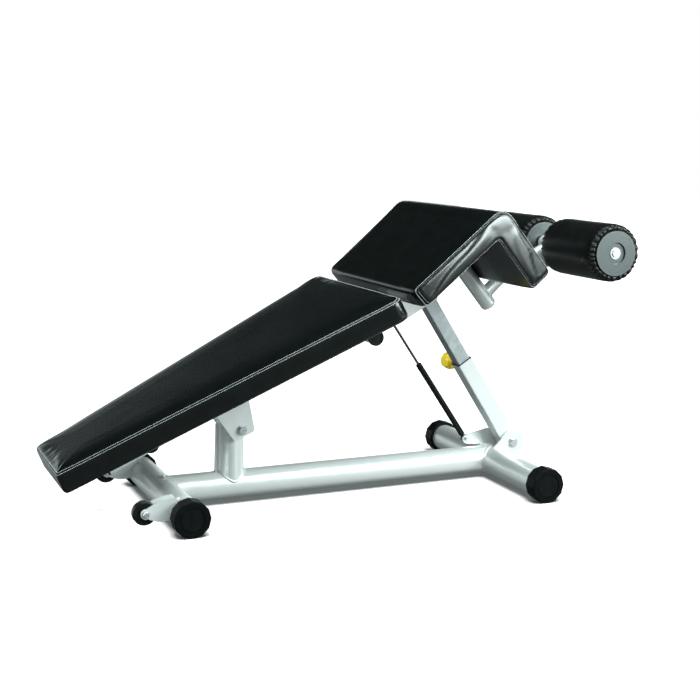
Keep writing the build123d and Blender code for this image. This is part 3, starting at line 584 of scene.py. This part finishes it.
MATERIALS = {
    "frame_paint": paint("silver_paint", (0.82, 0.84, 0.83), 0.33, 0.45),
    "zinc_hardware": metal("zinc_plate", (0.74, 0.77, 0.80), 0.30),
    "zinc_steel": spangle(),
    "foot_rubber": moulded("foot_rubber", (0.004, 0.0048, 0.005), 0.42, shine=0.06),
    "cap_disc": moulded("cap_disc", (0.005, 0.006, 0.0062), 0.36, shine=0.07),
    "black_plastic": moulded("black_plastic", (0.006, 0.0068, 0.007), 0.38, shine=0.2),
    "wheel_plastic": moulded("wheel_plastic", (0.004, 0.0045, 0.0045), 0.30, shine=0.3),
    "gas_black": moulded("gas_spring_paint", (0.005, 0.0055, 0.0055), 0.28, 900.0, 0.03, 0.25),
    "gas_rod_steel": metal("dark_rod", (0.10, 0.10, 0.105), 0.25),
    "knob_yellow": moulded("knob_yellow", (1.0, 0.62, 0.03), 0.30, 900.0, 0.05),
    "pad_board": vinyl("pad_back_vinyl", (0.004, 0.0045, 0.0045), 0.40, 0.50, 0.1, 0.2),
    "roller_core": moulded("roller_core", (0.04, 0.04, 0.04), 0.5),
    "pad_vinyl": vinyl("pad_vinyl", (0.0030, 0.0044, 0.0042), 0.19, 0.25, 0.0, 0.45),
    "roller_vinyl": vinyl("roller_vinyl", (0.005, 0.0058, 0.0056), 0.27, 0.36, 0.3, 0.3),
    "disc_aluminium": turned(),
}
# Pale thread, lightened so that a stitch row also gives a painted highlight: on the back pad the lower row,
# under the welt, is stitching and a painted highlight along the edge roll.
THREAD_AND_SEAM_HIGHLIGHT = thread("pale_thread_and_painted_highlight", (0.72, 0.75, 0.75))
PIPING = vinyl("piping_vinyl", (0.012, 0.013, 0.013), 0.2, 0.27, 0.1)
for node, piece in NODES.items():
    for holder in piece.material_slots:
        holder.material = MATERIALS[SLOTS[node]]

# ------------------------------------------------------------------- back pad
VOXEL = 0.0055
UNDERLAP = 0.9              # how far a cover passes under its board, in millimetres


def back_half(u):
    return BACK_HALF + BACK_TAPER * u


def back_loop(inset, v, steps=8):
    corners = [Vector((BACK_START, -back_half(BACK_START))), Vector((BACK_END, -back_half(BACK_END))),
               Vector((BACK_END, back_half(BACK_END))), Vector((BACK_START, back_half(BACK_START)))]
    outline = rounded(corners, (16, 30, 30, 16), inset, steps)
    return [back_point(p.x, p.y, v) for p in outline]


def finish_pad(mesh, name, node, body, seams, stitches, groove):
    """Subdivides a pad, presses its seams in, and adds its piping and stitching."""
    mesh = subdivided(mesh)
    press_seam(mesh, seams, groove, 0.0028)
    mesh.polygons.foreach_set("use_smooth", [True] * len(mesh.polygons))
    pad = new_object(name, mesh, body, MATERIALS[SLOTS[node]])
    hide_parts(node)
    tree = surface_tree(mesh)
    welts = []
    for line in seams:
        path, _ = resampled(line, 0.004)
        welts.append([tree.find_nearest(p)[0] for p in path])
    new_object(name + "_welt", tube_mesh(name + "_welt", welts, 0.0011), body, PIPING)
    sewn = stitch_mesh(name + "_stitches", stitches, tree)
    new_object(name + "_stitches", sewn, body, THREAD_AND_SEAM_HIGHLIGHT)
    return pad


def make_back_pad():
    levels = ((9, -UNDERLAP), (3.5, 1.0), (1.0, 6), (0.3, 14), (0.0, 28), (0.6, 42), (2.2, 51), (5.0, 55.0),
              (12, 57.2), (30, 59.5), (60, 61.0), (100, 61.8))
    mesh = loft("back_pad_cover", [back_loop(inset, v) for inset, v in levels])
    mesh = remeshed(mesh, VOXEL)

    def held(points):
        normal = np.array((-math.sin(PAD_ANGLE), 0, math.cos(PAD_ANGLE)))
        above = (points - np.array(back_point(0, 0, 0))) @ normal
        return np.clip(1.0 - (above - 0.004) / 0.01, 0.0, 1.0)

    mesh = swollen(mesh, 3.0, 0.0025, held)
    seam = back_loop(4.2, 55.6, 12)
    # The lower row, on the side just under the welt, is pale stitching that also serves as a painted
    # highlight along the edge roll.
    rows = [back_loop(7.6, 58, 12), back_loop(1.5, 52.6, 12)]
    finish_pad(mesh, "back_pad_cover", "back_pad_cushion", "bench", [seam], rows, 0.0012)


make_back_pad()

# ------------------------------------------------------------------- knee pad
THIGH_DIR = Vector((math.cos(THIGH_ANGLE), math.sin(THIGH_ANGLE)))
SHIN_DIR = Vector((math.cos(SHIN_ANGLE), -math.sin(SHIN_ANGLE)))
KNEE_CROTCH = crossing(thigh_point(0, -UNDERLAP), THIGH_DIR, shin_point(0, SHIN_GAP - UNDERLAP), SHIN_DIR)
KNEE_CROWN = crossing(thigh_point(0, KNEE_HEIGHT), THIGH_DIR,
                      shin_point(0, SHIN_GAP + SHIN_HEIGHT), SHIN_DIR)
KNEE_PLAN_R = 25.0          # radius of the pad's corners seen square to its top


def knee_half(x):
    share = min(1.0, max(0.0, (x - 540.0) / (KNEE_CROWN.x - 540.0)))
    return KNEE_HALF_LOW + (KNEE_HALF_HIGH - KNEE_HALF_LOW) * share


def knee_section(inset, steps=10):
    corners = [thigh_point(THIGH_START, -UNDERLAP), KNEE_CROTCH, shin_point(SHIN_START, SHIN_GAP - UNDERLAP),
               shin_point(SHIN_START, SHIN_GAP + SHIN_HEIGHT), KNEE_CROWN,
               thigh_point(THIGH_START, KNEE_HEIGHT)]
    return rounded(corners, (13, 6, 13, 13, 38, 13), inset, steps)


def knee_loop(inset, short, way, steps=10):
    """Outline of the pad, short of its near or far side, with rounded plan corners."""
    left = max(KNEE_PLAN_R - short, 0.0)
    pull = max(KNEE_PLAN_R - math.sqrt(KNEE_PLAN_R ** 2 - left ** 2) - max(inset, 0.0), 0.0)
    loop = []
    for p in knee_section(inset, steps):
        for end, way_in in ((thigh_point(THIGH_START, 0), THIGH_DIR),
                            (shin_point(SHIN_START, 0), -SHIN_DIR)):
            from_end = (p - end).dot(way_in)
            p = p + way_in * pull * max(0.0, 1.0 - from_end / 45.0)
        loop.append(world(p.x, way * (knee_half(p.x) - short), p.y))
    return loop


def make_knee_pad():
    levels = ((9, 0.0), (5.0, 0.8), (2.4, 3.0), (0.8, 8.0), (0.3, 13.0), (0.0, 20.0), (-0.8, 60.0),
              (-1.2, 150.0))
    near = [knee_loop(inset, short, -1) for inset, short in levels]
    far = [knee_loop(inset, short, 1) for inset, short in reversed(levels)]
    mesh = remeshed(loft("knee_pad_cover", near + far), VOXEL)
    under = (thigh_point(0, 0), Vector((-THIGH_DIR.y, THIGH_DIR.x)))

    def held(points):
        x, z = points[:, 0] / MM - FRONT_X, points[:, 2] / MM
        above_thigh = (x - under[0].x) * under[1].x + (z - under[0].y) * under[1].y
        spot = shin_point(0, SHIN_GAP)
        outward = Vector((math.sin(SHIN_ANGLE), math.cos(SHIN_ANGLE)))
        above_shin = (x - spot.x) * outward.x + (z - spot.y) * outward.y
        low = np.minimum(np.abs(above_thigh), np.abs(above_shin))
        return np.clip(1.0 - (low - 2.0) / 6.0, 0.0, 1.0)

    mesh = swollen(mesh, 2.0, 0.0012, held)
    seams = [knee_loop(3.6, 2.2, way, 14) for way in (-1, 1)]
    rows = [knee_loop(1.2, 6.6, way, 14) for way in (-1, 1)]
    finish_pad(mesh, "knee_pad_cover", "knee_pad_cushion", "bench", seams, rows, 0.0012)


make_knee_pad()


# --------------------------------------------------------------- roller covers
def fold_pattern(rng, count):
    """Angles, depths and widths of the gathers at one end of a roller cover."""
    folds, angle = [], rng.uniform(0, 1)
    steps = [rng.uniform(0.65, 1.35) for _ in range(count)]
    scale = 2 * math.pi / sum(steps)
    for step in steps:
        angle += step * scale
        folds.append((angle % (2 * math.pi), rng.uniform(0.55, 1.0), rng.uniform(0.30, 0.46) * step * scale))
    return folds


def fold_depth(folds, angle):
    deepest = 0.0
    for centre, depth, width in folds:
        off = (angle - centre + math.pi) % (2 * math.pi) - math.pi
        if abs(off) < width:
            deepest = max(deepest, depth * (0.5 + 0.5 * math.cos(math.pi * off / width)) ** 1.4)
    return deepest


def make_roller_cover(place, way, seed):
    rng = random.Random(seed)
    ends = [fold_pattern(rng, 27), fold_pattern(rng, 27)]
    half = (ROLLER_OUT - ROLLER_IN) / 2
    middle = (ROLLER_OUT + ROLLER_IN) / 2
    # Half of the cover's profile: distance from the middle, radius, gather strength.
    profile = [(0, 74.3, 0), (40, 74.4, 0), (80, 74.4, 0), (98, 74.4, 0.0), (106, 74.2, 0.05),
               (111, 73.8, 0.16), (115, 73.1, 0.36), (119, 71.9, 0.64), (122, 70.3, 0.92),
               (124.4, 68.3, 1.12), (125.8, 66.0, 1.2), (126.3, 63.6, 1.1), (126.0, 61.0, 0.85),
               (125.0, 58.6, 0.5), (123.5, 57.2, 0.2), (120.5, 56.6, 0.0)]
    track = [(-d, r, g, 0) for d, r, g in reversed(profile[1:])] + [(d, r, g, 1) for d, r, g in profile]
    around = 324
    points, faces = [], []
    for row, (d, r, strength, end) in enumerate(track):
        a = track[max(row - 1, 0)]
        b = track[min(row + 1, len(track) - 1)]
        slope = Vector((b[0] - a[0], b[1] - a[1])).normalized()
        out = Vector((-slope.y, slope.x))
        if out.y < 0 and abs(d) < half - 8:
            out = -out
        for k in range(around):
            angle = 2 * math.pi * k / around
            depth = fold_depth(ends[end], angle)
            lift = strength * (1.3 - 4.2 * depth)
            wave = 0.25 * math.sin(3 * angle + d * 0.03) + 0.2 * math.sin(7 * angle - d * 0.05)
            y = middle + d + out.x * lift
            radius = min(r + out.y * lift + wave * (1 - strength) * 0.6, ROLLER_R + 1.0)
            points.append(world(ROLLER_X + radius * math.cos(angle), way * y,
                                ROLLER_Z + radius * math.sin(angle)))
    rows = len(track)
    for row in range(rows - 1):
        for k in range(around):
            a, b = row * around + k, row * around + (k + 1) % around
            faces.append((a, b, b + around, a + around))
    # the inside of the cover, against its foam
    ring = len(points)
    for y in (middle + half - 8, middle - half + 8):
        for k in range(around):
            angle = 2 * math.pi * k / around
            points.append(world(ROLLER_X + 50 * math.cos(angle), way * y, ROLLER_Z + 50 * math.sin(angle)))
    last = (rows - 1) * around
    for k in range(around):
        nxt = (k + 1) % around
        faces.append((last + k, last + nxt, ring + nxt, ring + k))
        faces.append((ring + k, ring + nxt, ring + around + nxt, ring + around + k))
        faces.append((ring + around + k, ring + around + nxt, nxt, k))
    mesh = outward(mesh_from("roller_cover_" + place, points, faces))
    node = "roller_pad_" + place
    cover = new_object("roller_cover_" + place, mesh, "roller_" + place, MATERIALS["roller_vinyl"])
    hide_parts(node)


make_roller_cover("near", -1, 11)
make_roller_cover("far", 1, 23)


# ----------------------------------------------------------------- weld beads
def tube_on_tube(root, way, radius, other, other_way, other_radius, steps=120):
    """Line where a tube from root along way first meets another tube."""
    way, other_way = way.normalized(), other_way.normalized()
    side = way.orthogonal().normalized()
    up = way.cross(side)
    line = []
    for k in range(steps):
        a = 2 * math.pi * k / steps
        start = root + (side * math.cos(a) + up * math.sin(a)) * radius
        gap = start - other
        flat_way = way - other_way * way.dot(other_way)
        flat_gap = gap - other_way * gap.dot(other_way)
        qa, qb = flat_way.dot(flat_way), 2 * flat_way.dot(flat_gap)
        qc = flat_gap.dot(flat_gap) - other_radius ** 2
        inside = max(qb * qb - 4 * qa * qc, 0.0)
        line.append(start + way * ((-qb - math.sqrt(inside)) / (2 * qa)))
    return line


def arc_line(x, z, y, radius, start, end, steps=24):
    line = []
    for k in range(steps + 1):
        a = math.radians(start + (end - start) * k / steps)
        line.append(world(x + radius * math.cos(a), y, z + radius * math.sin(a)))
    return line


def weld(name, lines, body, radius=0.0028, closed=True):
    mesh = tube_mesh(name, lines, radius, 8, closed, 0.14)
    new_object(name, mesh, body, MATERIALS["frame_paint"])


X_AXIS, Y_AXIS, Z_AXIS = Vector((1, 0, 0)), Vector((0, 1, 0)), Vector((0, 0, 1))
R = TUBE_R * MM
weld("base_weld", [
    tube_on_tube(world(POST_X, 0, 200), -Z_AXIS, POST_R * MM, world(POST_X, 0, MAIN_Z), X_AXIS,
                 MAIN_R * MM + 0.0004),
    tube_on_tube(world(200, 0, MAIN_Z), -X_AXIS, MAIN_R * MM, world(0, 0, FOOT_Z), Y_AXIS, R + 0.0004),
    tube_on_tube(world(700, 0, MAIN_Z), X_AXIS, MAIN_R * MM, world(REAR_X, 0, FOOT_Z), Y_AXIS, R + 0.0004),
], "base", 0.0034)
plate_lines = []
for way in (-1, 1):
    for off in (-18, -13, 13, 18):
        plate_lines.append(arc_line(0, FOOT_Z, way * 210 + off, TUBE_R, 108, 196))
    plate_lines.append(arc_line(REAR_X, FOOT_Z, way * 28, TUBE_R, 28, 128 if way > 0 else 100))
    plate_lines.append(arc_line(REAR_X, FOOT_Z, way * 34, TUBE_R, 28, 128 if way > 0 else 100))
for way in (-1, 1):
    rib_y = way * (GUSSET_HALF + 0.5)
    rib_x = POST_X - math.sqrt(POST_R ** 2 - rib_y ** 2)
    plate_lines.append([world(x, rib_y, MAIN_Z + math.sqrt(MAIN_R ** 2 - rib_y ** 2))
                        for x in np.linspace(GUSSET_FOOT_X, rib_x, 12)])
weld("plate_weld", plate_lines, "base", 0.0018, False)

arm_angle = math.radians(42)
arm_way = Vector((math.cos(arm_angle), 0, math.sin(arm_angle)))
shin_way = Vector((-math.cos(SHIN_ANGLE), 0, math.sin(SHIN_ANGLE)))
shin_foot = world(SHIN_X, 0, SHIN_Z)
arm_root = shin_foot + shin_way * 0.037
hub_way = Vector((math.cos(math.radians(26.3)), 0, math.sin(math.radians(26.3))))
hub = world(ROLLER_X, 0, ROLLER_Z)
weld("bench_weld", [
    tube_on_tube(arm_root + arm_way * 0.09, -arm_way, 0.0170, arm_root, shin_way, 0.0214),
    tube_on_tube(hub - hub_way * 0.09, hub_way, 0.0170, hub, Y_AXIS, 0.0212),
], "bench", 0.0024)

# -------------------------------------------------------------- stage, camera
TINT = (0.87, 1.0, 0.99)    # of all light but the floor's
WINDOW_STRENGTH = 1.6
FLOOR_SIZE = 12.0           # half its side, in metres
FLOOR_SUN = 8.0
FLOOR_SUN_ANGLE = math.radians(36)
FLOOR_SUN_WAY = Vector((0.04, 0.42, -1.0))
LOW_TOP = 0.3               # pieces whose top is below this shade the floor, in metres
SENSOR, LENS = 36.0, 69.3   # in millimetres
CAMERA_AT = (-1.2578, -3.2133, 0.941)
CAMERA_YAW, CAMERA_DOWN, CAMERA_ROLL = math.radians(-22.3), math.radians(9.27), 0.00135


def add_floor():
    """Pale floor with a light of its own, which only the base frame shades."""
    size = FLOOR_SIZE
    mesh = mesh_from("floor", [(-size, -size, 0), (size, -size, 0), (size, size, 0), (-size, size, 0)],
                     [(0, 1, 2, 3)], False)
    floor = bpy.data.objects.new("floor", mesh)
    SCENE.collection.objects.link(floor)
    made = Recipe("pale_floor", (0.6, 0.6, 0.6), 0.9)
    made.colour(made.ramp(made.noise(1.5, 2.0), ((0.3, (0.59, 0.59, 0.59)), (0.7, (0.61, 0.61, 0.61)))))
    made.set("Specular IOR Level", 0.0)
    mesh.materials.append(made.material)
    floor.visible_diffuse = False
    floor.visible_glossy = False
    lamp = bpy.data.lights.new("floor_sun", "SUN")
    lamp.energy = FLOOR_SUN
    lamp.angle = FLOOR_SUN_ANGLE
    sun = bpy.data.objects.new("floor_sun", lamp)
    SCENE.collection.objects.link(sun)
    sun.rotation_euler = FLOOR_SUN_WAY.to_track_quat("-Z", "Y").to_euler()
    lit = bpy.data.collections.new("floor_only")
    lit.objects.link(floor)
    sun.light_linking.receiver_collection = lit
    shading = bpy.data.collections.new("low_pieces")
    for node, piece in NODES.items():
        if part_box(node)[1][2] < LOW_TOP and "wheel" not in node:
            shading.objects.link(piece)
    sun.light_linking.blocker_collection = shading
    unlit = bpy.data.collections.new("all_but_floor")
    unlit.objects.link(floor)
    unlit.collection_objects[0].light_linking.link_state = "EXCLUDE"
    return unlit


def linked(name, pieces):
    """A collection, for a light that reaches only these pieces."""
    group = bpy.data.collections.new(name)
    for piece in pieces:
        group.objects.link(piece)
    return group


def add_softbox(name, bearing, height, distance, width, tall, brightness, target=(0.05, 0, 0.35),
                lights=None):
    """A softbox by its bearing from straight in front, both angles in degrees."""
    turn, lift = math.radians(bearing), math.radians(height)
    way = Vector((math.sin(turn) * math.cos(lift), -math.cos(turn) * math.cos(lift), math.sin(lift)))
    data = bpy.data.lights.new(name, "AREA")
    data.shape = "RECTANGLE"
    data.size, data.size_y = width, tall
    data.energy = brightness * math.pi * width * tall
    data.color = TINT
    lamp = bpy.data.objects.new(name, data)
    SCENE.collection.objects.link(lamp)
    lamp.light_linking.receiver_collection = lights or OFF_FLOOR
    if lights:
        lamp.light_linking.blocker_collection = lights
    lamp.location = Vector(target) + way * distance
    lamp.rotation_euler = (-way).to_track_quat("-Z", "Y").to_euler()


def add_world():
    """White to the camera, soft and even on matt surfaces, and a dim room in reflections,
    with a bright band low behind the bench and a soft window low in front, to the right."""
    sky = bpy.data.worlds.new("studio")
    sky.use_nodes = True
    SCENE.world = sky
    tree = sky.node_tree
    tree.nodes.clear()

    def ramp(value, stops):
        made = tree.nodes.new("ShaderNodeValToRGB")
        for i, (place, grey) in enumerate(stops):
            stop = made.color_ramp.elements[i] if i < 2 else made.color_ramp.elements.new(place)
            stop.position = place
            stop.color = (grey * TINT[0], grey * TINT[1], grey * TINT[2], 1)
        tree.links.new(value, made.inputs["Fac"])
        return made.outputs["Color"]

    def spread(value):
        made = tree.nodes.new("ShaderNodeMapRange")
        made.inputs["From Min"].default_value = -1.0
        made.inputs["From Max"].default_value = 1.0
        tree.links.new(value, made.inputs["Value"])
        return made.outputs["Result"]

    def background(colour):
        made = tree.nodes.new("ShaderNodeBackground")
        if colour is None:
            made.inputs["Color"].default_value = (1, 1, 1, 1)
        else:
            tree.links.new(colour, made.inputs["Color"])
        return made.outputs["Background"]

    def blend(factor, low, high):
        made = tree.nodes.new("ShaderNodeMixShader")
        tree.links.new(factor, made.inputs["Fac"])
        tree.links.new(low, made.inputs[1])
        tree.links.new(high, made.inputs[2])
        return made.outputs["Shader"]

    place = tree.nodes.new("ShaderNodeTexCoord")
    split = tree.nodes.new("ShaderNodeSeparateXYZ")
    tree.links.new(place.outputs["Generated"], split.inputs["Vector"])
    height, back, right = (spread(split.outputs[axis]) for axis in "ZYX")
    soft = background(ramp(height, ((0.1, 0.30), (0.5, 0.34), (0.9, 0.60))))
    behind = background(ramp(height, ((0.30, 0.10), (0.42, 0.75), (0.56, 1.3), (0.59, 0.40), (0.61, 0.10),
                                      (0.635, 0.012))))
    dim = background(ramp(height, ((0.30, 0.20), (0.47, 0.20), (0.53, 0.26), (0.9, 0.12))))
    window = background(None)
    window.node.inputs["Strength"].default_value = WINDOW_STRENGTH
    across = ramp(right, ((0.675, 0.0), (0.705, 0.16), (0.742, 1.0), (0.762, 0.55), (0.80, 0.15), (0.9, 0.0)))
    low = ramp(height, ((0.50, 1.0), (0.56, 0.0)))
    beam = tree.nodes.new("ShaderNodeMath")
    beam.operation = "MULTIPLY"
    tree.links.new(across, beam.inputs[0])
    tree.links.new(low, beam.inputs[1])
    before = blend(beam.outputs[0], dim, window)
    facing = ramp(back, ((0.40, 0.0), (0.60, 1.0)))
    room = blend(facing, before, behind)
    path = tree.nodes.new("ShaderNodeLightPath")
    unseen = blend(path.outputs["Is Glossy Ray"], soft, room)
    shown = blend(path.outputs["Is Camera Ray"], unseen, background(None))
    out = tree.nodes.new("ShaderNodeOutputWorld")
    tree.links.new(shown, out.inputs["Surface"])


OFF_FLOOR = add_floor()
add_world()
add_softbox("key_softbox", 42, 24, 3.4, 1.9, 1.5, 17.0)
add_softbox("front_softbox", -4, 50, 3.2, 1.8, 1.0, 9.0)
add_softbox("overhead_softbox", 20, 84, 3.0, 2.4, 1.4, 5.0)
add_softbox("left_fill", -75, 20, 3.4, 1.0, 1.6, 4.0)
KNEE_PIECES = [piece for piece in SCENE.objects if piece.name.startswith("knee_pad_cover")]
add_softbox("knee_softbox", 24, 4, 2.0, 0.9, 0.36, 36.0, (0.30, -0.29, 0.64), linked("knee_pad", KNEE_PIECES))
add_softbox("knob_softbox", -80, 35, 2.0, 0.8, 0.8, 16.0, tuple(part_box("pull_knob")[0]),
            linked("knob", [NODES["pull_knob"]]))

camera_data = bpy.data.cameras.new("camera")
camera_data.sensor_width = SENSOR
camera_data.lens = LENS
camera = bpy.data.objects.new("camera", camera_data)
SCENE.collection.objects.link(camera)
look = Matrix.Rotation(CAMERA_YAW, 4, "Z") @ Matrix.Rotation(math.radians(90) - CAMERA_DOWN, 4, "X")
camera.matrix_world = Matrix.Translation(CAMERA_AT) @ look @ Matrix.Rotation(CAMERA_ROLL, 4, "Z")
SCENE.camera = camera
SCENE.view_settings.view_transform = "Standard"
SCENE.view_settings.look = "None"


bpy.context.view_layer.update()
